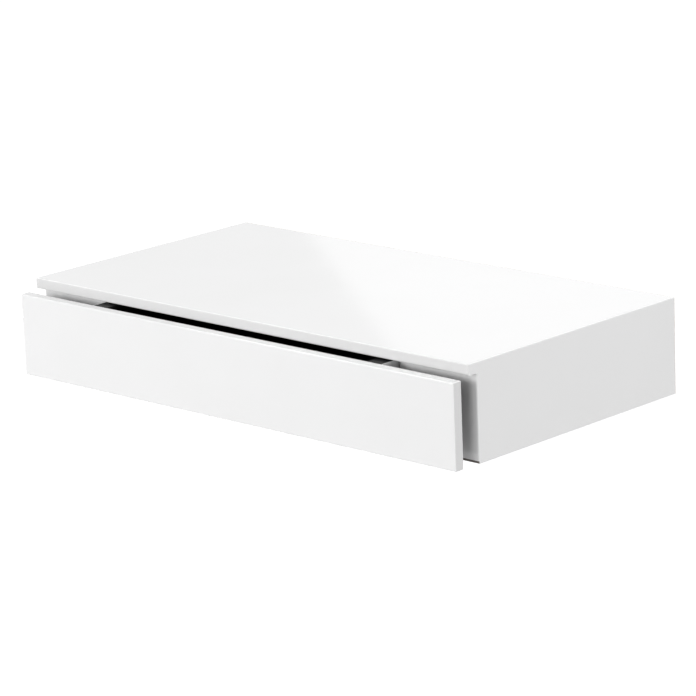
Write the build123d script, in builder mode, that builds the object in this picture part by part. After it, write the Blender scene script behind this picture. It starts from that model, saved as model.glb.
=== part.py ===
from build123d import *

import math
import os

# Floating wall shelf with a full-width drawer. Millimetres, +Z up, front towards -Y.
# The wall is the plane Y = 0, X = 0 is the middle, and Z = 0 is half way up the casing.
# The drawer stands a little open.

os.makedirs("parts", exist_ok=True)

# Casing, with the drawer shut
shelf_width = 480
shelf_depth = 250
shelf_height = 80
board = 9
block_width = 78
edge_round = 1.0
corner_round = 1.5
bottom_thickness = 2
bottom_setback = 0.5

# Drawer front, which hides under the lip of the top
front_thickness = 9
front_top_gap = 1.5
front_back_gap = 0.5
rest_opening = 17.5

# Wall bracket and the rail in front of it
plate_thickness = 3
plate_height = 50
plate_end_gap = 11
plate_corner = 3
wall_hole_radius = 2.75
wall_hole_span_x = 280
wall_hole_span_z = 30
head_room = 5
rail_thickness = 12
rod_radius = 6
rod_clearance = 0.25
rod_tip_gap = 3
rod_tip_chamfer = 1.5
spigot_radius = 4.5
spigot_recess = 0.5
rod_block_depth = 90

# Set screws that lock the casing on the rods, in brass inserts
lock_screw_radius = 3
lock_screw_recess = 1.9
lock_screw_gap = 0.1
hex_socket_flat = 3
hex_socket_depth = 3.5
insert_radius = 4.5
insert_length = 13
lock_access_gap = 0.5

# Drawer box
drawer_side = 15
drawer_board = 12
drawer_floor = 3
floor_height = 4
floor_groove_depth = 6
floor_gap = 0.1
floor_end_gap = 0.5
under_drawer_gap = 2
inner_front_drop = 8

# Ball slides let into the drawer sides
side_gap = 2
groove_depth = 8
groove_gap = 0.5
groove_end_gap = 1
slide_sheet = 1.0
cage_sheet = 0.5
slide_play = 0.5
slide_height = 17
track_height = 3.0
lip_gap = 1.0
moving_lip = 0.7
slide_front_gap = 1.5
slide_rear_gap = 10
slide_overlap = 60
slide_stop_gap = 0.5
cage_spare = 1
ball_gap = 0.3
ball_hole_gap = 0.2
ball_pitch = 9

# Screws, nails and dowels
fastener_gap = 0.05
sink_angle = 90
slide_screw_radius = 1.5
slide_screw_head = 3
slide_screw_depth = 6
slide_screw_inset = 22
front_screw_radius = 1.75
front_screw_head = 3.5
front_screw_bite = 6
front_screw_inset = 35
front_screw_count = 3
drive_radius = 1.2
drive_depth = 0.8
nail_radius = 0.7
nail_head_radius = 1.75
nail_head = 0.5
nail_bite = 12
partition_nail_pitch = 70
partition_nail_count = 3
rail_nail_inset = 11
rail_nail_count = 5
dowel_radius = 3
dowel_end_chamfer = 0.6
dowel_end_room = 0.5
dowel_bite_thin = 6
dowel_bite_side = 10
dowel_bite_deep = 12
partition_dowel_pitch = 75
partition_dowel_count = 3
rail_dowel_span = 36
drawer_dowel_span = 36

# Heights
top_z = shelf_height / 2
top_under = top_z - board
casing_low = -shelf_height / 2
floor_top = casing_low + bottom_thickness
front_top = top_under - front_top_gap
drawer_low = floor_top + under_drawer_gap
slide_z = (drawer_low + front_top) / 2
bay_z = (floor_top + top_under) / 2
plate_z = 0

# Depths, from the wall forwards
plate_front = -plate_thickness
rail_back = plate_front - head_room
rail_front = rail_back - rail_thickness
block_back = rail_front - rod_block_depth
block_front = -(shelf_depth - front_thickness - front_back_gap)
bay_start = block_front + board
front_rear_shut = -(shelf_depth - front_thickness)
slide_front = bay_start + slide_front_gap
slide_rear = rail_front - slide_rear_gap
slide_length = slide_rear - slide_front
full_travel = slide_length - slide_overlap

# Widths, right of the middle
half_width = shelf_width / 2
side_inner = half_width - board
bay_half = half_width - block_width
partition_outer = bay_half + board
rod_x = (partition_outer + side_inner) / 2
drawer_half = bay_half - side_gap
drawer_inner = drawer_half - drawer_side
groove_wall = drawer_half - groove_depth

# Where the drawer and the ball cages stand at rest
front_rear = front_rear_shut - rest_opening
drawer_rear = slide_rear - rest_opening
cage_front = slide_front + full_travel / 2 + cage_spare - rest_opening / 2
cage_length = slide_overlap - 2 * cage_spare

# How far past a mitre a cutting profile reaches
over = 5


def twin(piece):
    """The left-hand copy of a right-hand piece."""
    with BuildPart() as other:
        mirror(piece.part, about=Plane.YZ)
    return other


def row(pitch, count, middle=0):
    """Evenly spaced places about a middle."""
    return [middle + pitch * (i - (count - 1) / 2) for i in range(count)]


def spread(reach, count):
    """Evenly spaced places from -reach to reach."""
    return row(2 * reach / (count - 1), count)


def facing(direction, *points):
    """Working planes at the points, all facing one way."""
    return [Plane(origin=point, z_dir=direction) for point in points]


def opposite(points):
    """The same places on the left."""
    return [(-point[0], *point[1:]) for point in points]


def bore(direction, points, radius, depth=None):
    """Round holes that fit a dowel, nail or rod, cut into the piece being built."""
    with Locations(*facing(direction, *points)):
        Hole(radius, depth=depth)


def dowel_holes(direction, points, bite):
    bore(direction, points, dowel_radius + fastener_gap, bite + dowel_end_room)


def nail_holes(places):
    points = [(x, y, floor_top) for x, y in places]
    bore((0, 0, -1), points, nail_radius + fastener_gap, nail_bite)


def screw_holes(direction, points, radius, head_radius, depth):
    """Countersunk holes that fit the screws, cut into the piece being built."""
    with Locations(*facing(direction, *points)):
        CounterSinkHole(
            radius + fastener_gap,
            head_radius + fastener_gap,
            depth=depth,
            counter_sink_angle=sink_angle,
        )


def slide_screw_holes(direction, points):
    screw_holes(direction, points, slide_screw_radius, slide_screw_head, slide_screw_length)


def screw(radius, head_radius, length):
    """Countersunk wood screw, its head flush with Z = 0 and its point down."""
    head_depth = (head_radius - radius) / math.tan(math.radians(sink_angle / 2))
    with BuildPart() as body:
        with BuildSketch(Plane.XZ):
            with BuildLine():
                Polyline(
                    (0, 0),
                    (head_radius, 0),
                    (radius, -head_depth),
                    (radius, radius - length),
                    (0, -length),
                    close=True,
                )
            make_face()
        revolve(axis=Axis.Z)
        with BuildSketch(Plane.XY):
            RegularPolygon(radius=drive_radius, side_count=6)
        extrude(amount=-drive_depth, mode=Mode.SUBTRACT)
    return body.part


def dowel(length):
    """Beech dowel that starts at Z = 0 and goes down."""
    with BuildPart() as body:
        with BuildSketch(Plane.XY):
            Circle(dowel_radius)
        extrude(amount=-length)
        chamfer(body.edges().filter_by(GeomType.CIRCLE), length=dowel_end_chamfer)
    return body.part


# Top: its front is a lip over the drawer front, and behind that its ends are mitred to the sides
partition_middle = (bay_start + rail_front) / 2
partition_mid_x = bay_half + board / 2
partition_dowel_y = row(partition_dowel_pitch, partition_dowel_count, partition_middle)
partition_dowels = [(partition_mid_x, y, top_under) for y in partition_dowel_y]

with BuildPart() as top_panel:
    with BuildSketch(Plane.XY.offset(top_under)):
        with Locations((0, -shelf_depth / 2)):
            Rectangle(shelf_width, shelf_depth)
    extrude(amount=board)
    lip_edges = top_panel.faces().sort_by(Axis.Y)[0].edges()
    end_edges = top_panel.faces().sort_by(Axis.Z)[-1].edges().filter_by(Axis.Y)
    fillet(lip_edges + end_edges, radius=edge_round)
    with BuildSketch(Plane.XZ):
        with BuildLine():
            Polyline(
                (side_inner, top_under),
                (side_inner + board + over, top_z + over),
                (side_inner + board + over, top_under - over),
                (side_inner, top_under - over),
                close=True,
            )
        make_face()
        mirror(about=Plane.YZ)
    extrude(amount=-bay_start, mode=Mode.SUBTRACT)
    dowel_holes((0, 0, -1), partition_dowels + opposite(partition_dowels), dowel_bite_thin)

# Side: mitred to the block front at one end and to the top along its upper edge
with BuildPart() as right_side_panel:
    with BuildSketch(Plane.XY.offset(casing_low)):
        with BuildLine():
            Polyline(
                (side_inner, 0),
                (half_width, 0),
                (half_width, block_front),
                (side_inner, block_front),
                close=True,
            )
        make_face()
        fillet(vertices().group_by(Axis.Y)[0].sort_by(Axis.X)[-1], radius=corner_round)
        with BuildLine():
            Polyline(
                (side_inner, bay_start),
                (half_width + over, block_front - over),
                (side_inner - over, block_front - over),
                (side_inner - over, bay_start),
                close=True,
            )
        make_face(mode=Mode.SUBTRACT)
    extrude(amount=top_under - casing_low)
    with BuildSketch(Plane.XZ):
        with BuildLine():
            Polyline(
                (side_inner, top_under),
                (half_width, top_under),
                (half_width, top_z),
                (side_inner, top_z),
                close=True,
            )
        make_face()
        fillet(vertices().group_by(Axis.Y)[-1].sort_by(Axis.X)[-1], radius=edge_round)
        with BuildLine():
            Polyline(
                (side_inner, top_under),
                (half_width + over, top_z + over),
                (side_inner - over, top_z + over),
                (side_inner - over, top_under),
                close=True,
            )
        make_face(mode=Mode.SUBTRACT)
    extrude(amount=-bay_start)
left_side_panel = twin(right_side_panel)

# Block front: the fixed board beside the bay, mitred to the side at its outer end
block_mid_x = half_width - block_width / 2
block_front_mid = block_front + board / 2
block_nails = [(block_mid_x, block_front_mid)]

with BuildPart() as right_block_front:
    with BuildSketch(Plane.XY.offset(floor_top)):
        with BuildLine():
            Polyline(
                (bay_half, block_front),
                (half_width, block_front),
                (half_width, bay_start),
                (bay_half, bay_start),
                close=True,
            )
        make_face()
        fillet(vertices().group_by(Axis.Y)[0].sort_by(Axis.X)[-1], radius=corner_round)
        with BuildLine():
            Polyline(
                (side_inner, bay_start),
                (half_width + over, block_front - over),
                (half_width + over, bay_start),
                close=True,
            )
        make_face(mode=Mode.SUBTRACT)
    extrude(amount=top_under - floor_top)
    nail_holes(block_nails)
left_block_front = twin(right_block_front)

# Bay wall: the upright that carries a slide
slide_screw_y = [slide_front + slide_screw_inset, slide_rear - slide_screw_inset]
wall_screw_points = [(bay_half - slide_sheet, y, slide_z) for y in slide_screw_y]
slide_screw_length = slide_sheet + slide_screw_depth
partition_nail_y = row(partition_nail_pitch, partition_nail_count, partition_middle)
partition_nails = [(partition_mid_x, y) for y in partition_nail_y]
rail_dowel_points = [(partition_mid_x, rail_front, z) for z in row(rail_dowel_span, 2, bay_z)]
rail_dowel_bite = rail_thickness - dowel_end_room - dowel_radius

with BuildPart() as right_bay_wall:
    with BuildSketch(Plane.XY.offset(floor_top)):
        with Locations((partition_mid_x, partition_middle)):
            Rectangle(board, rail_front - bay_start)
    extrude(amount=top_under - floor_top)
    slide_screw_holes((-1, 0, 0), wall_screw_points)
    nail_holes(partition_nails)
    dowel_holes((0, 0, 1), partition_dowels, dowel_bite_deep)
    dowel_holes((0, 1, 0), rail_dowel_points, dowel_bite_deep)
left_bay_wall = twin(right_bay_wall)

# Back rail: closes the casing in front of the bracket, and the rods pass through it
rail_middle = (rail_back + rail_front) / 2
rail_nails = [(x, rail_middle) for x in spread(side_inner - rail_nail_inset, rail_nail_count)]
rod_points = [(rod_x, rail_back, plate_z), (-rod_x, rail_back, plate_z)]

with BuildPart() as back_rail:
    with BuildSketch(Plane.XY.offset(floor_top)):
        with Locations((0, rail_middle)):
            Rectangle(2 * side_inner, rail_thickness)
    extrude(amount=top_under - floor_top)
    bore((0, 1, 0), rod_points, rod_radius + rod_clearance)
    dowel_holes((0, -1, 0), rail_dowel_points + opposite(rail_dowel_points), rail_dowel_bite)
    nail_holes(rail_nails)

# Rod block: solid wood in the block, bored for the rod and, from beneath, for its set screw
lock_y = rail_front - rod_block_depth / 2

with BuildPart() as right_rod_block:
    with BuildSketch(Plane.XY.offset(floor_top)):
        with Locations((rod_x, lock_y)):
            Rectangle(side_inner - partition_outer, rod_block_depth)
    extrude(amount=top_under - floor_top)
    bore((0, 1, 0), [(rod_x, rail_front, plate_z)], rod_radius + rod_clearance)
    with Locations(*facing((0, 0, -1), (rod_x, lock_y, floor_top))):
        CounterBoreHole(
            lock_screw_radius + lock_access_gap,
            insert_radius + fastener_gap,
            insert_length,
            depth=plate_z - floor_top,
        )
left_rod_block = twin(right_rod_block)

# Bottom: thin hardboard between the sides, under everything else. Its front corners
# follow the mitres, and its raw edge stands just behind the block fronts
bottom_front = block_front + bottom_setback
bottom_tip = half_width - bottom_setback
side_nails = block_nails + partition_nails
nail_heads = [(x, y, casing_low) for x, y in side_nails + opposite(side_nails) + rail_nails]
lock_holes = [(rod_x, lock_y, casing_low), (-rod_x, lock_y, casing_low)]

with BuildPart() as bottom_panel:
    with BuildSketch(Plane.XY.offset(casing_low)):
        with BuildLine():
            Polyline(
                (side_inner, rail_back),
                (side_inner, bay_start),
                (bottom_tip, bottom_front),
                (-bottom_tip, bottom_front),
                (-side_inner, bay_start),
                (-side_inner, rail_back),
                close=True,
            )
        make_face()
    extrude(amount=bottom_thickness)
    with Locations(*facing((0, 0, -1), *nail_heads)):
        CounterBoreHole(nail_radius + fastener_gap, nail_head_radius + fastener_gap, nail_head)
    bore((0, 0, -1), lock_holes, lock_screw_radius + lock_access_gap)

with BuildPart() as nail:
    with BuildSketch(Plane.XY):
        Circle(nail_head_radius)
    extrude(amount=-nail_head)
    with BuildSketch(Plane.XY):
        Circle(nail_radius)
    extrude(amount=-(bottom_thickness + nail_bite - nail_radius))

with BuildPart() as bottom_nails:
    with Locations(*facing((0, 0, -1), *nail_heads)):
        add(nail.part)

# Bracket: a steel plate on the wall with two rods that the casing slides over
plate_length = 2 * (side_inner - plate_end_gap)

with BuildPart() as wall_plate:
    with BuildSketch(Plane.XZ):
        with Locations((0, plate_z)):
            RectangleRounded(plate_length, plate_height, plate_corner)
            with GridLocations(wall_hole_span_x, wall_hole_span_z, 2, 2):
                Circle(wall_hole_radius, mode=Mode.SUBTRACT)
            with GridLocations(2 * rod_x, 0, 2, 1):
                Circle(spigot_radius + fastener_gap, mode=Mode.SUBTRACT)
    extrude(amount=plate_thickness)

with BuildPart() as support_rods:
    with BuildSketch(Plane.XZ.offset(plate_thickness)):
        with Locations((0, plate_z)):
            with GridLocations(2 * rod_x, 0, 2, 1):
                Circle(rod_radius)
    extrude(amount=plate_front - block_back - rod_tip_gap)
    chamfer(support_rods.edges().group_by(Axis.Y)[0], length=rod_tip_chamfer)
    with BuildSketch(Plane.XZ.offset(plate_thickness)):
        with Locations((0, plate_z)):
            with GridLocations(2 * rod_x, 0, 2, 1):
                Circle(spigot_radius)
    extrude(amount=-(plate_thickness - spigot_recess))

with BuildPart() as lock_inserts:
    with BuildSketch(Plane.XY.offset(floor_top)):
        with Locations((rod_x, lock_y), (-rod_x, lock_y)):
            Circle(insert_radius)
            Circle(lock_screw_radius + fastener_gap, mode=Mode.SUBTRACT)
    extrude(amount=insert_length)

lock_screw_top = plate_z - rod_radius - lock_screw_gap
lock_screw_low = floor_top + lock_screw_recess
with BuildPart() as lock_screws:
    with BuildSketch(Plane.XY.offset(lock_screw_low)):
        with Locations((rod_x, lock_y), (-rod_x, lock_y)):
            Circle(lock_screw_radius)
    extrude(amount=lock_screw_top - lock_screw_low)
    with BuildSketch(Plane.XY.offset(lock_screw_low)):
        with Locations((rod_x, lock_y), (-rod_x, lock_y)):
            RegularPolygon(hex_socket_flat / 2, side_count=6, major_radius=False)
    extrude(amount=hex_socket_depth, mode=Mode.SUBTRACT)

# Slides: a fixed channel on the bay wall, a moving channel in the groove of the drawer
# side, and between them a cage that holds two rows of balls
outer_half = slide_height / 2
track_top = outer_half - slide_sheet
inner_half = track_top - track_height
ball_z = (track_top + inner_half) / 2
ball_radius = track_height / 2 - ball_gap
moving_face = groove_wall + slide_sheet
lip_near = moving_face + slide_play
lip_far = lip_near + slide_sheet
web_face = bay_half - slide_sheet
cage_outer = web_face - slide_play
cage_inner = cage_outer - cage_sheet
moving_end = cage_inner - slide_play
arm_start = lip_far + slide_play
ball_x = (arm_start + cage_inner) / 2

fixed_plane = Plane(origin=(0, slide_front, slide_z), x_dir=(1, 0, 0), z_dir=(0, 1, 0))

with BuildPart() as right_fixed_slide:
    with BuildSketch(fixed_plane):
        with BuildLine():
            Polyline(
                (bay_half, 0),
                (bay_half, outer_half),
                (lip_near, outer_half),
                (lip_near, inner_half + lip_gap),
                (lip_far, inner_half + lip_gap),
                (lip_far, track_top),
                (web_face, track_top),
                (web_face, 0),
                close=True,
            )
        make_face()
        mirror(about=Plane.XZ)
    extrude(amount=slide_length)
    with BuildSketch(fixed_plane.offset(slide_length)):
        with Locations(((lip_near + bay_half) / 2, 0)):
            Rectangle(bay_half - lip_near, slide_height)
    extrude(amount=slide_sheet)
    slide_screw_holes((-1, 0, 0), wall_screw_points)
left_fixed_slide = twin(right_fixed_slide)

moving_front = slide_front - rest_opening
moving_rear = slide_rear - slide_stop_gap - rest_opening
moving_plane = Plane(origin=(0, moving_front, slide_z), x_dir=(1, 0, 0), z_dir=(0, 1, 0))
moving_screw_y = [moving_front + slide_screw_inset, moving_rear - slide_screw_inset]
moving_screw_points = [(moving_face, y, slide_z) for y in moving_screw_y]

with BuildPart() as right_moving_slide:
    with BuildSketch(moving_plane):
        with BuildLine():
            Polyline(
                (groove_wall, 0),
                (groove_wall, inner_half),
                (moving_end - slide_sheet, inner_half),
                (moving_end - slide_sheet, inner_half + moving_lip),
                (moving_end, inner_half + moving_lip),
                (moving_end, inner_half - slide_sheet),
                (moving_face, inner_half - slide_sheet),
                (moving_face, 0),
                close=True,
            )
        make_face()
        mirror(about=Plane.XZ)
    extrude(amount=moving_rear - moving_front)
    slide_screw_holes((1, 0, 0), moving_screw_points)
left_moving_slide = twin(right_moving_slide)

ball_count = int(cage_length / ball_pitch)
ball_y = row(ball_pitch, ball_count, cage_front + cage_length / 2)
cage_half = ball_z + cage_sheet / 2
cage_plane = Plane(origin=(0, cage_front, slide_z), x_dir=(1, 0, 0), z_dir=(0, 1, 0))

with BuildPart() as right_ball_cage:
    with BuildSketch(cage_plane):
        with BuildLine():
            Polyline(
                (cage_outer, 0),
                (cage_outer, cage_half),
                (arm_start, cage_half),
                (arm_start, cage_half - cage_sheet),
                (cage_inner, cage_half - cage_sheet),
                (cage_inner, 0),
                close=True,
            )
        make_face()
        mirror(about=Plane.XZ)
    extrude(amount=cage_length)
    with Locations(*facing((0, 0, 1), *[(ball_x, y, slide_z + cage_half) for y in ball_y])):
        Hole(ball_radius + ball_hole_gap, depth=2 * cage_half)
left_ball_cage = twin(right_ball_cage)

with BuildPart() as slide_balls:
    with Locations(*[(ball_x, y, slide_z + z) for y in ball_y for z in (-ball_z, ball_z)]):
        Sphere(ball_radius)
    mirror(about=Plane.YZ)

slide_screw = screw(slide_screw_radius, slide_screw_head, slide_screw_length)
with BuildPart() as fixed_slide_screws:
    with Locations(*facing((-1, 0, 0), *wall_screw_points)):
        add(slide_screw)
    mirror(about=Plane.YZ)

with BuildPart() as moving_slide_screws:
    with Locations(*facing((1, 0, 0), *moving_screw_points)):
        add(slide_screw)
    mirror(about=Plane.YZ)

# Dowels of the casing: bay walls to the top, and rail to the bay walls
with BuildPart() as casing_dowels:
    partition_dowel_ends = [(x, y, z + dowel_bite_thin) for x, y, z in partition_dowels]
    with Locations(*facing((0, 0, 1), *partition_dowel_ends)):
        add(dowel(dowel_bite_thin + dowel_bite_deep))
    rail_dowel_ends = [(x, y + rail_dowel_bite, z) for x, y, z in rail_dowel_points]
    with Locations(*facing((0, 1, 0), *rail_dowel_ends)):
        add(dowel(rail_dowel_bite + dowel_bite_deep))
    mirror(about=Plane.YZ)

# Drawer front, screwed to the box from inside
front_middle_z = (casing_low + front_top) / 2
front_screw_x = spread(drawer_inner - front_screw_inset, front_screw_count)

with BuildPart() as drawer_front:
    with BuildSketch(Plane.XZ.offset(-front_rear)):
        with Locations((0, front_middle_z)):
            Rectangle(shelf_width, front_top - casing_low)
    extrude(amount=front_thickness)
    fillet(drawer_front.edges(), radius=edge_round)
    front_bores = [(x, front_rear, slide_z) for x in front_screw_x]
    bore((0, 1, 0), front_bores, front_screw_radius + fastener_gap, front_screw_bite)

# Drawer side: grooved outside for its slide and inside for the floor
inner_front_rear = front_rear + drawer_board
back_board_front = drawer_rear - drawer_board
floor_low = drawer_low + floor_height
floor_slot = drawer_floor + floor_gap
corner_z = row(drawer_dowel_span, 2, slide_z)
corner_y = [front_rear + drawer_board / 2, drawer_rear - drawer_board / 2]
corner_points = [(drawer_inner, y, z) for y in corner_y for z in corner_z]
slide_groove_front = moving_front - groove_end_gap

with BuildPart() as drawer_right_side:
    with BuildSketch(Plane.XY.offset(drawer_low)):
        with Locations(((drawer_inner + drawer_half) / 2, (front_rear + drawer_rear) / 2)):
            Rectangle(drawer_side, drawer_rear - front_rear)
    extrude(amount=front_top - drawer_low)
    with BuildSketch(Plane.YZ.offset(groove_wall)):
        with Locations((slide_groove_front, slide_z)):
            Rectangle(
                drawer_rear - slide_groove_front,
                slide_height + 2 * groove_gap,
                align=(Align.MIN, Align.CENTER),
            )
    extrude(amount=groove_depth, mode=Mode.SUBTRACT)
    with BuildSketch(Plane.YZ.offset(drawer_inner)):
        with Locations((front_rear, floor_low)):
            Rectangle(drawer_rear - front_rear, floor_slot, align=Align.MIN)
    extrude(amount=floor_groove_depth, mode=Mode.SUBTRACT)
    dowel_holes((-1, 0, 0), corner_points, dowel_bite_side)
    slide_screw_holes((1, 0, 0), moving_screw_points)
drawer_left_side = twin(drawer_right_side)

# Inner front: lower than the sides, with the floor let into its back
inner_front_top = front_top - inner_front_drop
front_screw_points = [(x, inner_front_rear, slide_z) for x in front_screw_x]
front_corner_points = [point for point in corner_points if point[1] < back_board_front]
back_corner_points = [point for point in corner_points if point[1] > back_board_front]

with BuildPart() as drawer_inner_front:
    with BuildSketch(Plane.XY.offset(drawer_low)):
        with Locations((0, (front_rear + inner_front_rear) / 2)):
            Rectangle(2 * drawer_inner, drawer_board)
    extrude(amount=inner_front_top - drawer_low)
    with BuildSketch(Plane.XZ.offset(-inner_front_rear)):
        with Locations((0, floor_low)):
            Rectangle(2 * drawer_inner, floor_slot, align=(Align.CENTER, Align.MIN))
    extrude(amount=floor_groove_depth, mode=Mode.SUBTRACT)
    dowel_holes((1, 0, 0), front_corner_points, dowel_bite_deep)
    dowel_holes((-1, 0, 0), opposite(front_corner_points), dowel_bite_deep)
    screw_holes((0, 1, 0), front_screw_points, front_screw_radius, front_screw_head, drawer_board)

with BuildPart() as drawer_back:
    with BuildSketch(Plane.XY.offset(drawer_low)):
        with Locations((0, (back_board_front + drawer_rear) / 2)):
            Rectangle(2 * drawer_inner, drawer_board)
    extrude(amount=front_top - drawer_low)
    with BuildSketch(Plane.XZ.offset(-back_board_front)):
        with Locations((0, floor_low)):
            Rectangle(2 * drawer_inner, floor_slot, align=(Align.CENTER, Align.MIN))
    extrude(amount=-floor_groove_depth, mode=Mode.SUBTRACT)
    dowel_holes((1, 0, 0), back_corner_points, dowel_bite_deep)
    dowel_holes((-1, 0, 0), opposite(back_corner_points), dowel_bite_deep)

floor_reach = floor_groove_depth - floor_end_gap
with BuildPart() as drawer_bottom:
    with BuildSketch(Plane.XY.offset(floor_low)):
        with Locations((0, (inner_front_rear + back_board_front) / 2)):
            Rectangle(
                2 * (drawer_inner + floor_reach),
                back_board_front - inner_front_rear + 2 * floor_reach,
            )
    extrude(amount=drawer_floor)

with BuildPart() as drawer_dowels:
    corner_ends = [(x + dowel_bite_side, y, z) for x, y, z in corner_points]
    with Locations(*facing((1, 0, 0), *corner_ends)):
        add(dowel(dowel_bite_side + dowel_bite_deep))
    mirror(about=Plane.YZ)

with BuildPart() as front_screws:
    with Locations(*facing((0, 1, 0), *front_screw_points)):
        add(screw(front_screw_radius, front_screw_head, drawer_board + front_screw_bite))

pieces = {
    "top_panel": top_panel,
    "left_side_panel": left_side_panel,
    "right_side_panel": right_side_panel,
    "left_block_front": left_block_front,
    "right_block_front": right_block_front,
    "left_bay_wall": left_bay_wall,
    "right_bay_wall": right_bay_wall,
    "back_rail": back_rail,
    "left_rod_block": left_rod_block,
    "right_rod_block": right_rod_block,
    "bottom_panel": bottom_panel,
    "bottom_nails": bottom_nails,
    "casing_dowels": casing_dowels,
    "wall_plate": wall_plate,
    "support_rods": support_rods,
    "lock_inserts": lock_inserts,
    "lock_screws": lock_screws,
    "left_fixed_slide": left_fixed_slide,
    "right_fixed_slide": right_fixed_slide,
    "fixed_slide_screws": fixed_slide_screws,
    "left_ball_cage": left_ball_cage,
    "right_ball_cage": right_ball_cage,
    "slide_balls": slide_balls,
    "left_moving_slide": left_moving_slide,
    "right_moving_slide": right_moving_slide,
    "moving_slide_screws": moving_slide_screws,
    "drawer_front": drawer_front,
    "drawer_inner_front": drawer_inner_front,
    "drawer_left_side": drawer_left_side,
    "drawer_right_side": drawer_right_side,
    "drawer_back": drawer_back,
    "drawer_bottom": drawer_bottom,
    "drawer_dowels": drawer_dowels,
    "front_screws": front_screws,
}
for name, piece in pieces.items():
    piece.part.label = name
    export_step(piece.part, f"parts/{name}.step")

print("drawer slide range, mm:", -rest_opening, full_travel - rest_opening)
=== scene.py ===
import math

import bmesh
import bpy
from mathutils import Matrix, Quaternion, Vector
from mathutils import noise as mathsNoise


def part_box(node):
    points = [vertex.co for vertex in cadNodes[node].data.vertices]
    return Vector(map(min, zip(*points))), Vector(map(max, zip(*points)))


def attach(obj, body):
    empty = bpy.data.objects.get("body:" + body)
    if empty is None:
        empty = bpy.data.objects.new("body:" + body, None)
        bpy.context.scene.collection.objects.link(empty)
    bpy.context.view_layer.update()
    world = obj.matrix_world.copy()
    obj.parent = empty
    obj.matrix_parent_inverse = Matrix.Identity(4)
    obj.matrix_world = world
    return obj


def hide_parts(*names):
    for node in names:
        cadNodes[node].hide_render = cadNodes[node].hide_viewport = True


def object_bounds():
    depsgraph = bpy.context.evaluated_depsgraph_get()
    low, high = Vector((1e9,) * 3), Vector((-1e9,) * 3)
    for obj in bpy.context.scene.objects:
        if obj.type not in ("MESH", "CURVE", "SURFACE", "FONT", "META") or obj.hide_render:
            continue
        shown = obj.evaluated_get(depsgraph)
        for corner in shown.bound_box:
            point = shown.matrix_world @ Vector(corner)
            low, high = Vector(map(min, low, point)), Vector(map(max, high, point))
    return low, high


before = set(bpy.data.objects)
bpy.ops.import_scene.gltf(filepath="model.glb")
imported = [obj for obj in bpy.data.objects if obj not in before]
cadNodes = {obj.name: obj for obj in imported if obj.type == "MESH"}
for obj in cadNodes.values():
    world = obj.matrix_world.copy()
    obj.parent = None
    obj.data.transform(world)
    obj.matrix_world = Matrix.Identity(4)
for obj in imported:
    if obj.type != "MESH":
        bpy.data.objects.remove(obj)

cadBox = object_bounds()
scene = bpy.context.scene
scene.view_settings.view_transform = "Standard"

# Camera: a long lens from the front right, a little above the shelf
cameraView = {
    "place": (1.8992, -2.1304, 0.7190),
    "heading": -43.465,  # degrees from +Y, positive towards +X
    "pitch": -14.814,
    "roll": -2.172,
    "lens": 180.0,
}


def makeCamera():
    heading = math.radians(cameraView["heading"])
    pitch = math.radians(cameraView["pitch"])
    level = math.cos(pitch)
    aim = Vector((math.sin(heading) * level, math.cos(heading) * level, math.sin(pitch)))
    data = bpy.data.cameras.new("productCamera")
    data.lens = cameraView["lens"]
    camera = bpy.data.objects.new("productCamera", data)
    camera.location = cameraView["place"]
    camera.rotation_mode = "QUATERNION"
    turn = Quaternion((0, 0, 1), math.radians(cameraView["roll"]))
    camera.rotation_quaternion = aim.to_track_quat("-Z", "Y") @ turn
    scene.collection.objects.link(camera)
    scene.camera = camera


# Node helpers
grainSpan = (0.3, 0.7)  # where most of a fine noise lies
mixSockets = {"RGBA": (6, 7, 2), "FLOAT": (2, 3, 0), "VECTOR": (4, 5, 1)}  # first, second, result


def newTree(name):
    material = bpy.data.materials.new(name)
    material.use_nodes = True
    tree = material.node_tree
    tree.nodes.clear()
    shader = tree.nodes.new("ShaderNodeBsdfPrincipled")
    output = tree.nodes.new("ShaderNodeOutputMaterial")
    tree.links.new(shader.outputs[0], output.inputs["Surface"])
    return material, tree, shader


def give(tree, socket, value):  # links a socket, or sets a plain value
    if isinstance(value, bpy.types.NodeSocket):
        tree.links.new(value, socket)
    elif isinstance(value, (tuple, list)) and len(value) == 3 and len(socket.default_value) == 4:
        socket.default_value = (*value, 1)
    else:
        socket.default_value = value


def add(tree, kind, inputs=None, **settings):
    node = tree.nodes.new("ShaderNode" + kind)
    for key, value in settings.items():
        setattr(node, key, value)
    for key, value in (inputs or {}).items():
        give(tree, node.inputs[key], value)
    return node


def place(tree, scale=(1, 1, 1), turn=(0, 0, 0)):
    coords = add(tree, "TexCoord").outputs["Object"]
    inputs = {"Vector": coords, "Scale": scale, "Rotation": turn}
    return add(tree, "Mapping", inputs).outputs[0]


def noise(tree, where, size, detail=3.0, rough=0.5, warp=0.0):  # blobs about size metres wide
    inputs = {"Vector": where, "Scale": 1 / size, "Detail": detail, "Roughness": rough}
    inputs["Distortion"] = warp
    return add(tree, "TexNoise", inputs).outputs["Fac"]


def remap(tree, value, span, low, high):
    inputs = {"Value": value, "From Min": span[0], "From Max": span[1], "To Min": low, "To Max": high}
    return add(tree, "MapRange", inputs).outputs["Result"]


def maths(tree, operation, first, second=0.0):
    return add(tree, "Math", {0: first, 1: second}, operation=operation).outputs[0]


def blend(tree, part, first, second):  # part of the first, the rest of the second
    share = maths(tree, "MULTIPLY", first, part)
    return maths(tree, "ADD", share, maths(tree, "MULTIPLY", second, 1 - part))


def mix(tree, kind, factor, first, second):
    start, end, result = mixSockets[kind]
    node = add(tree, "Mix", {0: factor}, data_type=kind)
    give(tree, node.inputs[start], first)
    give(tree, node.inputs[end], second)
    return node.outputs[result]


def mixColour(tree, factor, first, second):
    return mix(tree, "RGBA", factor, first, second)


def mixValue(tree, factor, first, second):
    return mix(tree, "FLOAT", factor, first, second)


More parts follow.
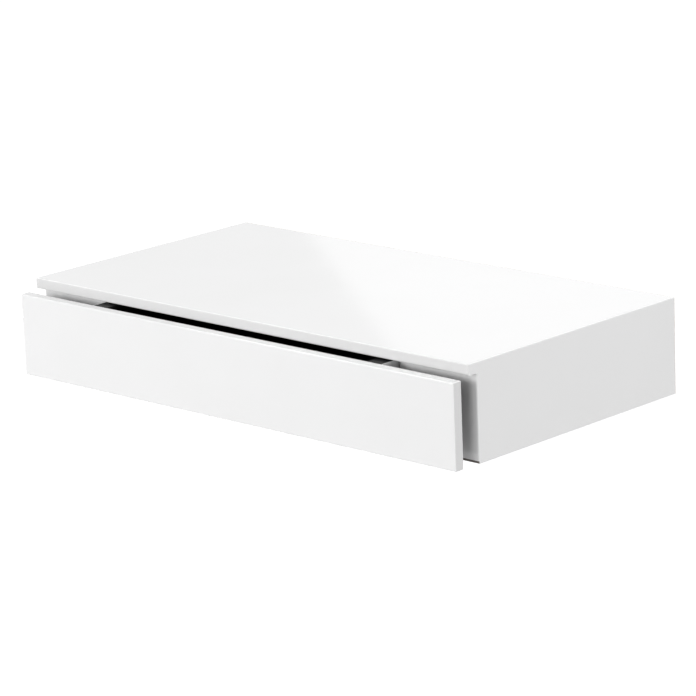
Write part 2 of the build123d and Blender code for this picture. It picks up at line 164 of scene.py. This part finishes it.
def mixVector(tree, factor, first, second):
    return mix(tree, "VECTOR", factor, first, second)


def drift(tree, value, span, low, high):  # one colour below the span, the other above it
    return mixColour(tree, remap(tree, value, span, 0, 1), low, high)


def roughen(tree, grain, look, span=grainSpan):  # roughness that follows the grain
    less, more = look["roughSpread"]
    return remap(tree, grain, span, look["roughness"] - less, look["roughness"] + more)


def bump(tree, height, depth, under=None):
    node = add(tree, "Bump", {"Height": height, "Distance": depth, "Strength": 1.0})
    if under is not None:
        tree.links.new(under, node.inputs["Normal"])
    return node.outputs[0]


def dress(tree, shader, colour, roughness, normal):
    give(tree, shader.inputs["Base Color"], colour)
    give(tree, shader.inputs["Roughness"], roughness)
    give(tree, shader.inputs["Normal"], normal)


def paint(names, material):
    for name in names:
        slots = cadNodes[name].data.materials
        slots.clear()
        slots.append(material)


# Raw fibreboard: fine speckle of fibres, used bare and on the cut backs of the foil boards
fibreboard = {
    "pale": (0.56, 0.39, 0.235),
    "dark": (0.36, 0.235, 0.13),
    "fibre": 0.0007,
    "fibreSpan": (0.32, 0.68),
    "fibrePart": 0.7,  # of the mix, the rest is the patches
    "patch": 0.012,
    "roughness": 0.82,
    "roughSpread": (0.08, 0.1),
    "bumpDepth": 0.00006,
}


def fibreLook(tree):
    where = place(tree)
    fibres = noise(tree, where, fibreboard["fibre"], detail=4, rough=0.65, warp=0.4)
    patches = noise(tree, where, fibreboard["patch"], detail=2)
    speckle = remap(tree, fibres, fibreboard["fibreSpan"], 0, 1)
    mixed = blend(tree, fibreboard["fibrePart"], speckle, patches)
    return mixColour(tree, mixed, fibreboard["dark"], fibreboard["pale"]), fibres


def makeFibreboard():
    material, tree, shader = newTree("rawFibreboard")
    colour, fibres = fibreLook(tree)
    normal = bump(tree, fibres, fibreboard["bumpDepth"])
    dress(tree, shader, colour, roughen(tree, fibres, fibreboard, (0, 1)), normal)
    return material


# Tests on a place on the object, 1 where they hold
skinDepth = 0.0002  # how far from a face its own skin reaches


def above(tree, value, limit):
    return maths(tree, "GREATER_THAN", value, limit)


def below(tree, value, limit):
    return maths(tree, "LESS_THAN", value, limit)


def beyond(tree, value, limit):  # on either side of the middle
    return above(tree, maths(tree, "ABSOLUTE", value), limit)


def both(tree, first, second):
    return maths(tree, "MULTIPLY", first, second)


def either(tree, first, second):
    return maths(tree, "MAXIMUM", first, second)


# White gloss foil. Its skin has a faint orange peel, and the board below a slower swell
glossFoil = {
    "white": (0.878, 0.878, 0.88),
    "cloud": (0.866, 0.866, 0.866),
    "cloudSize": 0.09,
    "cloudSpan": (0.35, 0.65),
    "gloss": 0.055,
    "smudge": 0.025,  # how much rougher the smudged parts are
    "smudgeSize": 0.05,
    "smudgeSpan": (0.35, 0.7),
    "edge": (0.76, 0.76, 0.76),  # a greyer band on the drawer front's edges, and painted shade on the lip's face, where less light reaches it from below
    "edgeGloss": 0.2,
    "peelSize": 0.0035,
    "peelDepth": 0.0000018,
    "swellSize": 0.045,
    "swellDepth": 0.00001,
}


def makeFoil(name, nodes, bandAndShadeWhere=None, bareWhere=None, backWhere=None):
    material, tree, shader = newTree(name)
    where = place(tree)
    axes = add(tree, "SeparateXYZ", {0: where}).outputs
    smooth = glossFoil["gloss"]

    cloud = noise(tree, where, glossFoil["cloudSize"], detail=2)
    colour = drift(tree, cloud, glossFoil["cloudSpan"], glossFoil["cloud"], glossFoil["white"])
    smudge = noise(tree, where, glossFoil["smudgeSize"], detail=5, rough=0.6, warp=0.3)
    gloss = remap(tree, smudge, glossFoil["smudgeSpan"], smooth, smooth + glossFoil["smudge"])
    peel = noise(tree, where, glossFoil["peelSize"], detail=1)
    swell = noise(tree, where, glossFoil["swellSize"], detail=1)
    normal = bump(tree, peel, glossFoil["peelDepth"], bump(tree, swell, glossFoil["swellDepth"]))

    # One darker grey serves two marks: painted shade on the lip's face, and a greyer band on the
    # drawer front's edges
    if bandAndShadeWhere:
        edge = bandAndShadeWhere(tree, *axes)
        colour = mixColour(tree, edge, colour, glossFoil["edge"])
        gloss = mixValue(tree, edge, gloss, glossFoil["edgeGloss"])
    if bareWhere:
        bare = bareWhere(tree, *axes)
        board, fibres = fibreLook(tree)
        colour = mixColour(tree, bare, colour, board)
        gloss = mixValue(tree, bare, gloss, fibreboard["roughness"])
        normal = mixVector(tree, bare, normal, bump(tree, fibres, fibreboard["bumpDepth"]))
    if backWhere:
        back = backWhere(tree, *axes)
        black, grain = blackLook(tree)
        colour = mixColour(tree, back, colour, black)
        gloss = mixValue(tree, back, gloss, drawerFoil["roughness"])
        normal = mixVector(tree, back, normal, bump(tree, grain, drawerFoil["grainDepth"]))

    dress(tree, shader, colour, gloss, normal)
    paint(nodes, material)


def makeFoils():
    topLow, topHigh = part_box("top_panel")
    sideLow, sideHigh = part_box("right_side_panel")
    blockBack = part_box("right_block_front")[1].y - skinDepth
    frontLow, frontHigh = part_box("drawer_front")

    # The lip's face gets the darker grey as painted shade, since less light reaches it from below
    def lipFace(tree, x, y, z):
        return below(tree, y, topLow.y + skinDepth)

    def topBare(tree, x, y, z):  # the underside behind the lip, and the back edge
        under = both(tree, below(tree, z, topLow.z + skinDepth), above(tree, y, blockBack))
        return either(tree, under, above(tree, y, topHigh.y - skinDepth))

    def sideBare(tree, x, y, z):  # the inner face and the back edge
        inner = below(tree, maths(tree, "ABSOLUTE", x), sideLow.x + skinDepth)
        return either(tree, inner, above(tree, y, sideHigh.y - skinDepth))

    def blockBare(tree, x, y, z):
        return above(tree, y, blockBack)

    def frontEdges(tree, x, y, z):  # the ends, and the upper and lower edge, which get a greyer edge band
        middle = (frontLow.z + frontHigh.z) / 2
        height = maths(tree, "SUBTRACT", z, middle)
        upDown = beyond(tree, height, frontHigh.z - middle - skinDepth)
        return either(tree, beyond(tree, x, frontHigh.x - skinDepth), upDown)

    def frontBack(tree, x, y, z):
        return above(tree, y, frontHigh.y - skinDepth)

    makeFoil("glossFoilTop", ["top_panel"], bandAndShadeWhere=lipFace, bareWhere=topBare)
    makeFoil("glossFoilSides", ["left_side_panel", "right_side_panel"], bareWhere=sideBare)
    makeFoil("glossFoilBlocks", ["left_block_front", "right_block_front"], bareWhere=blockBare)
    makeFoil("glossFoilDrawer", ["drawer_front"], bandAndShadeWhere=frontEdges, backWhere=frontBack)


# Matt black foil of the drawer box, with a fine grain
drawerFoil = {
    "black": (0.007, 0.007, 0.0072),
    "worn": (0.012, 0.012, 0.0123),
    "white": (0.78, 0.78, 0.78),  # on the outer faces of the sides
    "patch": 0.06,
    "grain": 0.0011,
    "grainDepth": 0.00003,
    "specular": 0.2,
    "roughness": 0.52,
    "roughSpread": (0.05, 0.07),
}


def blackLook(tree):
    where = place(tree)
    grain = noise(tree, where, drawerFoil["grain"], detail=3, rough=0.6)
    patch = noise(tree, where, drawerFoil["patch"], detail=3)
    return drift(tree, patch, grainSpan, drawerFoil["black"], drawerFoil["worn"]), grain


def makeDrawerFoil(name, nodes, otherWhere=None, otherLook=None):
    material, tree, shader = newTree(name)
    colour, grain = blackLook(tree)
    if otherWhere:
        axes = add(tree, "SeparateXYZ", {0: place(tree)}).outputs
        colour = mixColour(tree, otherWhere(tree, *axes), colour, otherLook(tree))
    give(tree, shader.inputs["Specular IOR Level"], drawerFoil["specular"])
    normal = bump(tree, grain, drawerFoil["grainDepth"])
    dress(tree, shader, colour, roughen(tree, grain, drawerFoil), normal)
    paint(nodes, material)


def makeDrawerFoils():
    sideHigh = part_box("drawer_right_side")[1]
    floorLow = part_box("drawer_bottom")[0]

    def outerFaces(tree, x, y, z):
        return beyond(tree, x, sideHigh.x - skinDepth)

    def underFloor(tree, x, y, z):
        return below(tree, z, floorLow.z + skinDepth)

    def whiteLook(tree):
        return drawerFoil["white"]

    def boardLook(tree):
        return fibreLook(tree)[0]

    sides = ["drawer_left_side", "drawer_right_side"]
    makeDrawerFoil("blackFoil", ["drawer_inner_front", "drawer_back"])
    makeDrawerFoil("blackFoilSides", sides, outerFaces, whiteLook)
    makeDrawerFoil("blackFoilFloor", ["drawer_bottom"], underFloor, boardLook)


# Hardboard bottom: dark, pressed smooth, with drifting fibres
hardboard = {
    "pale": (0.125, 0.105, 0.09),
    "dark": (0.07, 0.058, 0.049),
    "fibre": 0.0012,
    "fibreStretch": (1, 0.35, 1),
    "fibrePart": 0.6,  # of the mix, the rest is the patches
    "fibreDepth": 0.00002,
    "patch": 0.03,
    "mixSpan": (0.35, 0.65),
    "roughness": 0.46,
    "roughSpread": (0.06, 0.12),
}


def makeHardboard():
    material, tree, shader = newTree("hardboard")
    along = place(tree, hardboard["fibreStretch"])
    fibres = noise(tree, along, hardboard["fibre"], detail=5, rough=0.7, warp=0.8)
    patches = noise(tree, place(tree), hardboard["patch"], detail=3)
    mixed = blend(tree, hardboard["fibrePart"], fibres, patches)
    colour = drift(tree, mixed, hardboard["mixSpan"], hardboard["dark"], hardboard["pale"])
    normal = bump(tree, fibres, hardboard["fibreDepth"])
    dress(tree, shader, colour, roughen(tree, fibres, hardboard), normal)
    paint(["bottom_panel"], material)


# Solid beech: growth rings cut along the grain, and dark pores
beech = {
    "pale": (0.66, 0.46, 0.27),
    "dark": (0.47, 0.29, 0.15),
    "fleck": (0.36, 0.2, 0.1),
    "ringWidth": 0.006,
    "ringStretch": (1, 0.12, 1),
    "ringTurn": (0.05, 0.03, 0.35),
    "ringShape": {"Distortion": 3.0, "Detail": 2.0, "Detail Scale": 1.5},
    "ringShares": (0.1, 0.9),  # of the dark colour, between and on the rings
    "pore": 0.0006,
    "poreStretch": (1, 0.05, 1),
    "poreDepth": 0.00004,
    "fleckSpan": (0.62, 0.7),
    "fleckShare": 0.55,
    "roughness": 0.6,
    "roughSpread": (0, 0.12),
}


def makeBeech():
    material, tree, shader = newTree("beech")
    along = place(tree, beech["ringStretch"], beech["ringTurn"])
    inputs = {"Vector": along, "Scale": 0.5 / beech["ringWidth"], **beech["ringShape"]}
    rings = add(tree, "TexWave", inputs, bands_direction="X").outputs["Fac"]
    pores = noise(tree, place(tree, beech["poreStretch"]), beech["pore"], detail=3, rough=0.6)
    rings = remap(tree, rings, (0, 1), *beech["ringShares"])
    colour = mixColour(tree, rings, beech["pale"], beech["dark"])
    flecks = remap(tree, pores, beech["fleckSpan"], 0, beech["fleckShare"])
    colour = mixColour(tree, flecks, colour, beech["fleck"])
    normal = bump(tree, pores, beech["poreDepth"])
    dress(tree, shader, colour, roughen(tree, pores, beech), normal)
    paint(["left_rod_block", "right_rod_block", "casing_dowels", "drawer_dowels"], material)


# Metals: a grain, drawn out where the metal was rolled or turned, over slow patches
metals = {
    "slideSheet": {
        "nodes": [
            "left_fixed_slide", "right_fixed_slide", "left_moving_slide", "right_moving_slide",
            "left_ball_cage", "right_ball_cage",
        ],
        "pale": (0.66, 0.67, 0.69), "dark": (0.5, 0.51, 0.54), "roughness": 0.3,
        "stretch": (1, 0.04, 1), "size": 0.0008, "depth": 0.000004,
    },
    "zincScrew": {
        "nodes": [
            "bottom_nails", "lock_screws", "fixed_slide_screws", "moving_slide_screws",
            "front_screws",
        ],
        "pale": (0.7, 0.69, 0.66), "dark": (0.5, 0.5, 0.47), "roughness": 0.33,
        "stretch": (1, 1, 1), "size": 0.0015, "depth": 0.00001,
    },
    "bearingSteel": {
        "nodes": ["slide_balls"],
        "pale": (0.76, 0.77, 0.79), "dark": (0.66, 0.67, 0.69), "roughness": 0.1,
        "stretch": (1, 1, 1), "size": 0.001, "depth": 0.000001,
    },
    "turnedBrass": {
        "nodes": ["lock_inserts"],
        "pale": (0.78, 0.6, 0.28), "dark": (0.6, 0.43, 0.18), "roughness": 0.28,
        "stretch": (0.1, 0.1, 1), "size": 0.0006, "depth": 0.000005,
    },
}
metalSkin = {
    "patch": 0.012,
    "grainPart": 0.5,  # of the mix, the rest is the patches
    "mixSpan": (0.35, 0.65),
    "roughTimes": (0.8, 1.3),  # each metal's roughness, at its smoothest and roughest
}


def makeMetals():
    for name, look in metals.items():
        material, tree, shader = newTree(name)
        along = place(tree, look["stretch"])
        grain = noise(tree, along, look["size"], detail=4, rough=0.6)
        patch = noise(tree, place(tree), metalSkin["patch"], detail=2)
        mixed = blend(tree, metalSkin["grainPart"], grain, patch)
        colour = drift(tree, mixed, metalSkin["mixSpan"], look["dark"], look["pale"])
        smooth, rough = (look["roughness"] * times for times in metalSkin["roughTimes"])
        roughness = remap(tree, grain, grainSpan, smooth, rough)
        give(tree, shader.inputs["Metallic"], 1.0)
        dress(tree, shader, colour, roughness, bump(tree, grain, look["depth"]))
        paint(look["nodes"], material)


# Powder coat on the bracket
powderCoat = {
    "black": (0.022, 0.022, 0.023),
    "pale": (0.034, 0.034, 0.035),
    "patch": 0.02,
    "patchSpan": (0.35, 0.65),
    "peelSize": 0.0009,
    "peelDepth": 0.00003,
    "roughness": 0.4,
    "roughSpread": (0.05, 0.08),
}


def makePowderCoat():
    material, tree, shader = newTree("powderCoat")
    where = place(tree)
    peel = noise(tree, where, powderCoat["peelSize"], detail=2, rough=0.5)
    patch = noise(tree, where, powderCoat["patch"], detail=3)
    colour = drift(tree, patch, powderCoat["patchSpan"], powderCoat["black"], powderCoat["pale"])
    normal = bump(tree, peel, powderCoat["peelDepth"])
    dress(tree, shader, colour, roughen(tree, peel, powderCoat), normal)
    paint(["wall_plate", "support_rods"], material)


# Mesh helpers
def axisTurn(degrees, axis):
    return Matrix.Rotation(math.radians(degrees), 3, axis)


def turnVerts(mesh, verts, matrix):
    bmesh.ops.rotate(mesh, verts=verts, cent=(0, 0, 0), matrix=matrix)


def meshObject(name, mesh):
    data = bpy.data.meshes.new(name)
    mesh.to_mesh(data)
    mesh.free()
    thing = bpy.data.objects.new(name, data)
    scene.collection.objects.link(thing)
    return thing


def finishPiece(name, mesh, body, material):
    bmesh.ops.recalc_face_normals(mesh, faces=mesh.faces)
    piece = meshObject(name, mesh)
    piece.data.materials.append(material)
    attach(piece, body)
    return piece


# Cross-recess screws in the drawer and the slides
crossScrews = {
    "drawerFrontScrews": {
        "node": "front_screws", "body": "drawer", "facing": (0, 1, 0),
        "shank": 0.00175, "count": 3,
    },
    "fixedSlideScrews": {
        "node": "fixed_slide_screws", "body": "casing", "facing": (-1, 0, 0),
        "shank": 0.0015, "length": 0.007,
    },
    "movingSlideScrews": {
        "node": "moving_slide_screws", "body": "drawer", "facing": (1, 0, 0),
        "shank": 0.0015, "length": 0.007,
    },
}
screwShape = {
    "headSides": 32,
    "rim": 0.00012,  # rounding of the head's rim
    "rimSteps": 2,
    "pointLength": 0.9,  # of the shank's radius
    "pointWidth": 0.1,
}
crossRecess = {
    "sides": 12,  # four arms, with a corner between each two
    "reach": 0.55,  # of the head's radius
    "waist": 0.5,  # of the reach, at the inner corners
    "slack": 0.01,  # of the head's radius, to find those corners
    "depth": 0.0011,
    "taper": 0.6,
}


def loopOf(verts):
    return list({edge for vert in verts for edge in vert.link_edges})


def drawOut(mesh, edges, drop, shrink):
    grown = bmesh.ops.extrude_edge_only(mesh, edges=edges)["geom"]
    verts = [item for item in grown if isinstance(item, bmesh.types.BMVert)]
    bmesh.ops.translate(mesh, verts=verts, vec=(0, 0, -drop))
    bmesh.ops.scale(mesh, verts=verts, vec=(shrink, shrink, 1))
    return [edge for edge in mesh.edges if all(vert in verts for vert in edge.verts)]


def crossOutline(mesh, head):  # a ring of points, turned so that the corners lie on the diagonals
    sides, waist = crossRecess["sides"], crossRecess["waist"]
    radius = head * crossRecess["reach"]
    ring = bmesh.ops.create_circle(mesh, segments=sides, radius=radius)["verts"]
    turnVerts(mesh, ring, axisTurn(180 / sides, "Z"))
    slack = head * crossRecess["slack"]
    corners = [vert for vert in ring if abs(abs(vert.co.x) - abs(vert.co.y)) < slack]
    bmesh.ops.scale(mesh, verts=corners, vec=(waist, waist, 1))
    return ring


def addScrew(whole, head, shank, length, place, facing):
    mesh = bmesh.new()
    rim = bmesh.ops.create_circle(mesh, segments=screwShape["headSides"], radius=head)["verts"]
    cross = crossOutline(mesh, head)
    rimEdges, crossEdges = loopOf(rim), loopOf(cross)
    bmesh.ops.bridge_loops(mesh, edges=rimEdges + crossEdges)
    recess = drawOut(mesh, crossEdges, crossRecess["depth"], crossRecess["taper"])
    bmesh.ops.edgeloop_fill(mesh, edges=recess)
    neck = drawOut(mesh, rimEdges, head - shank, shank / head)
    tip = drawOut(mesh, neck, length - head, 1)
    point = drawOut(mesh, tip, shank * screwShape["pointLength"], screwShape["pointWidth"])
    bmesh.ops.edgeloop_fill(mesh, edges=point)
    bmesh.ops.recalc_face_normals(mesh, faces=mesh.faces)
    bmesh.ops.bevel(
        mesh, geom=rimEdges, offset=screwShape["rim"], segments=screwShape["rimSteps"],
        profile=0.5, affect="EDGES", material=-1,
    )
    turnVerts(mesh, mesh.verts, Vector(facing).to_track_quat("Z", "Y").to_matrix())
    bmesh.ops.translate(mesh, verts=mesh.verts, vec=place)
    data = bpy.data.meshes.new("screw")
    mesh.to_mesh(data)
    mesh.free()
    whole.from_mesh(data)
    bpy.data.meshes.remove(data)


def makeCrossScrews():
    material = bpy.data.materials["zincScrew"]
    for name, row in crossScrews.items():
        low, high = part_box(row["node"])
        head = (high.z - low.z) / 2
        middle = (high.z + low.z) / 2
        facing, shank = row["facing"], row["shank"]
        mesh = bmesh.new()
        if facing[1]:  # a row across the drawer's front
            reach = high.x - head
            for step in range(row["count"]):
                x = reach * (2 * step / (row["count"] - 1) - 1)
                addScrew(mesh, head, shank, high.y - low.y, (x, high.y, middle), facing)
        else:  # both sides of the drawer, mirrored
            length = row["length"]
            face = high.x if facing[0] > 0 else high.x - length
            for side in (-1, 1):
                for y in (low.y + head, high.y - head):
                    spot = (side * face, y, middle)
                    addScrew(mesh, head, shank, length, spot, (side * facing[0], 0, 0))
        piece = finishPiece(name, mesh, row["body"], material)
        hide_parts(row["node"])


# Plug welds that hold the rods, in the back of the plate
plugWeld = {
    "radius": 0.0044,
    "sides": 40,
    "rings": 20,
    "rise": 0.0004,
    "lump": 0.00009,
    "lumpSize": 0.0016,
    "ripples": 3.2,
    "ripplePart": 0.5,  # of the lumps' height
    "edgePower": 4,  # how late the lumps die away towards the edge
}


def makePlugWelds():
    low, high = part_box("support_rods")
    rodX = (high.x - low.x) / 2 - (high.z - low.z) / 2
    radius = plugWeld["radius"]
    mesh = bmesh.new()
    for side in (-1, 1):
        fresh = bmesh.ops.create_uvsphere(
            mesh, u_segments=plugWeld["sides"], v_segments=plugWeld["rings"], radius=radius
        )["verts"]
        bmesh.ops.scale(mesh, verts=fresh, vec=(1, 1, plugWeld["rise"] / radius))
        for vert in fresh:  # the bead's ripples and lumps
            out = vert.co.xy.length / radius
            ripple = math.cos(out * plugWeld["ripples"] * math.tau) * (1 - out)
            lump = mathsNoise.noise(Vector((vert.co.x, vert.co.y, side)) / plugWeld["lumpSize"])
            fade = 1 - out ** plugWeld["edgePower"]
            vert.co.z += plugWeld["lump"] * (ripple * plugWeld["ripplePart"] + lump) * fade
        turnVerts(mesh, fresh, axisTurn(-90, "X"))
        spot = (side * rodX, high.y, (low.z + high.z) / 2)
        bmesh.ops.translate(mesh, verts=fresh, vec=spot)
    material = bpy.data.materials["powderCoat"]
    piece = finishPiece("plugWelds", mesh, "casing", material)
    for face in piece.data.polygons:
        face.use_smooth = True


# Stage: a wide pale floor well below the shelf, and a white surround
stageLook = {
    "floorDrop": 1.1,
    "floorRadius": 30.0,
    "floorSides": 96,
    "floorColour": (0.5, 0.5, 0.5),
    "floorLift": 0.9,  # what the camera and reflections see on top of the lit floor
    "fill": 0.3,
    "surround": 1.0,
}

# Bright card behind the shelf on the left, seen only as the broad reflection on the top
backCard = {
    "distance": 3.0,
    "heading": -43.465,  # degrees from +Y, positive towards +X
    "edgeAcross": -0.084,  # where the middle of its left edge stands
    "edgeUp": 0.801,
    "lean": 32.6,  # degrees that the left edge leans to the right
    "size": (1.7, 1.8),
    "glow": 1.3,
}


def seenRays(tree):
    path = add(tree, "LightPath").outputs
    seen = maths(tree, "MAXIMUM", path["Is Camera Ray"], path["Is Glossy Ray"])
    return maths(tree, "MAXIMUM", seen, path["Is Transmission Ray"])


def stageObject(name, mesh):
    stageThing = meshObject(name, mesh)
    material = bpy.data.materials.new(name)
    material.use_nodes = True
    material.node_tree.nodes.clear()
    stageThing.data.materials.append(material)
    return stageThing, material.node_tree


def makeFloor():
    sides, radius = stageLook["floorSides"], stageLook["floorRadius"]
    mesh = bmesh.new()
    bmesh.ops.create_circle(mesh, cap_ends=True, segments=sides, radius=radius)
    down = cadBox[0].z - stageLook["floorDrop"]
    bmesh.ops.translate(mesh, verts=mesh.verts, vec=(0, 0, down))
    floor, tree = stageObject("studioFloor", mesh)
    matt = add(tree, "BsdfDiffuse", {"Color": stageLook["floorColour"]}).outputs[0]
    lift = maths(tree, "MULTIPLY", seenRays(tree), stageLook["floorLift"])
    glow = add(tree, "Emission", {"Strength": lift}).outputs[0]
    lit = add(tree, "AddShader", {0: matt, 1: glow}).outputs[0]
    # Clear from below, so that the underside can be seen
    fromBelow = add(tree, "NewGeometry").outputs["Backfacing"]
    clear = add(tree, "BsdfTransparent").outputs[0]
    final = add(tree, "MixShader", {0: fromBelow, 1: lit, 2: clear}).outputs[0]
    tree.links.new(final, add(tree, "OutputMaterial").inputs["Surface"])


def makeSurround():
    world = bpy.data.worlds.new("whiteStudio")
    world.use_nodes = True
    scene.world = world
    tree = world.node_tree
    tree.nodes.clear()
    fill, white = (
        add(tree, "Background", {"Color": (1, 1, 1), "Strength": stageLook[name]}).outputs[0]
        for name in ("fill", "surround")
    )
    final = add(tree, "MixShader", {0: seenRays(tree), 1: fill, 2: white}).outputs[0]
    tree.links.new(final, add(tree, "OutputWorld").inputs["Surface"])


def makeBackCard():
    wide, high = backCard["size"]
    stand = (backCard["edgeAcross"], backCard["distance"], backCard["edgeUp"])
    mesh = bmesh.new()
    bmesh.ops.create_grid(mesh, x_segments=1, y_segments=1, size=0.5)
    bmesh.ops.scale(mesh, verts=mesh.verts, vec=(wide, high, 1))
    bmesh.ops.translate(mesh, verts=mesh.verts, vec=(wide / 2, 0, 0))
    turnVerts(mesh, mesh.verts, axisTurn(-backCard["lean"], "Z"))
    turnVerts(mesh, mesh.verts, axisTurn(90, "X"))
    bmesh.ops.translate(mesh, verts=mesh.verts, vec=stand)
    turnVerts(mesh, mesh.verts, axisTurn(-backCard["heading"], "Z"))
    card, tree = stageObject("backCard", mesh)
    glow = add(tree, "Emission", {"Strength": backCard["glow"]}).outputs[0]
    tree.links.new(glow, add(tree, "OutputMaterial").inputs["Surface"])
    card.visible_camera = card.visible_diffuse = card.visible_shadow = False
    card.visible_transmission = card.visible_volume_scatter = False


# Lamps: soft boxes low at the front, at the right, behind and above
lamps = {
    "keyLeft": {"place": (-1.455, -2.651, 0.726), "size": (1.6, 0.7), "power": 41},
    "keyRight": {"place": (1.020, -2.934, 0.314), "size": (1.2, 0.7), "power": 22.5},
    "sideBox": {"place": (2.898, -0.130, 0.776), "size": (1.2, 1.2), "power": 13},
    "sideBack": {"place": (2.723, 0.600, 1.026), "size": (1.2, 1.2), "power": 22},
    "backBox": {"place": (0.000, 1.670, 2.145), "size": (2.0, 1.6), "power": 16.3},
    "topBox": {"place": (0.000, -0.357, 2.590), "size": (2.0, 2.0), "power": 23},
}
lampAim = (0, -0.13, 0)


def makeLamps():
    for name, lamp in lamps.items():
        data = bpy.data.lights.new(name, "AREA")
        data.shape = "RECTANGLE"
        data.size, data.size_y = lamp["size"]
        data.energy = lamp["power"]
        box = bpy.data.objects.new(name, data)
        box.location = lamp["place"]
        way = Vector(lampAim) - Vector(lamp["place"])
        box.rotation_mode = "QUATERNION"
        box.rotation_quaternion = way.to_track_quat("-Z", "Y")
        box.visible_camera = False
        scene.collection.objects.link(box)


makeCamera()
print("camera set")
makeFoils()
paint(["left_bay_wall", "right_bay_wall", "back_rail"], makeFibreboard())
makeDrawerFoils()
makeHardboard()
makeBeech()
makeMetals()
makePowderCoat()
print("materials made")
makeCrossScrews()
makePlugWelds()
print("screws and welds made")
makeFloor()
makeSurround()
makeBackCard()
makeLamps()
print("stage and lamps set")
